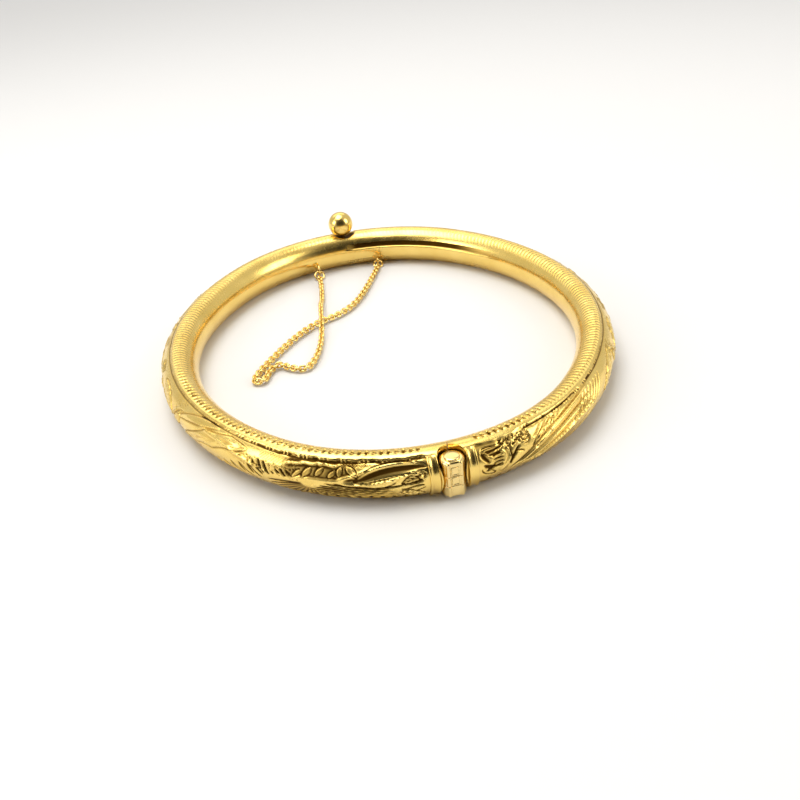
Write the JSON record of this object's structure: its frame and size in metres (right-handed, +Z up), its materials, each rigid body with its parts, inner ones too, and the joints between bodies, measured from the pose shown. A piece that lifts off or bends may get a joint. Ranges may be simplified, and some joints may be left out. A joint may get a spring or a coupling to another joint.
{
  "type": "bangle bracelet",
  "caption": "Oval hinged bangle of chased hollow yellow-gold tube with a barrel hinge, a spring-tongue clasp released by a thumb ball, and a fine safety chain.",
  "frame": {"origin": "centre of the oval on the plane the bangle lies on", "axes": "+Y from hinge to clasp along the oval's long axis, +X to the half that opens, +Z up through the wrist opening towards the thumb ball"},
  "size_m": [0.0598, 0.0681, 0.009],
  "materials": {
    "gold_chased": "rich yellow gold, chased and repousse, lightly worn on the crests",
    "gold_polished": "yellow gold, smooth polish with fine scratches",
    "gold_hinge": "slightly paler yellow gold, filed and burnished",
    "gold_chain": "yellow gold wire links, bright on the curves"
  },
  "bodies": {
    "left_half": {"left_shell": "gold_chased", "left_lining": "gold_polished", "left_collar": "gold_chased", "left_hinge_block": "gold_hinge", "lower_knuckle": "gold_hinge", "upper_knuckle": "gold_hinge", "hinge_pin": "gold_hinge", "mouth_plate": "gold_polished", "left_chain_eye": "gold_chain", "left_jump_ring": "gold_chain", "safety_chain": "gold_chain"},
    "right_half": {"right_shell": "gold_chased", "right_lining": "gold_polished", "right_collar": "gold_chased", "right_hinge_block": "gold_hinge", "middle_knuckle": "gold_hinge", "tongue_plate": "gold_polished", "tongue_base": "gold_polished", "right_chain_eye": "gold_chain", "right_jump_ring": "gold_chain"},
    "thumb_latch": {"tongue_spring": "gold_polished", "thumb_stem": "gold_polished", "thumb_ball": "gold_polished"}
  },
  "joints": [
    {"name": "main_hinge", "type": "hinge", "parent": "left_half", "child": "right_half", "pos_m": [0, -0.033, 0.00275], "axis": [0, 0, -1], "range_deg": [0, 60]},
    {"name": "thumb_press", "type": "hinge", "parent": "right_half", "child": "thumb_latch", "pos_m": [-0.0052, 0.0313, 0.0023], "axis": [0, 1, 0], "range_deg": [0, 5], "stiffness_Nm_per_rad": 0.05, "springref_deg": -1.72}
  ]
}
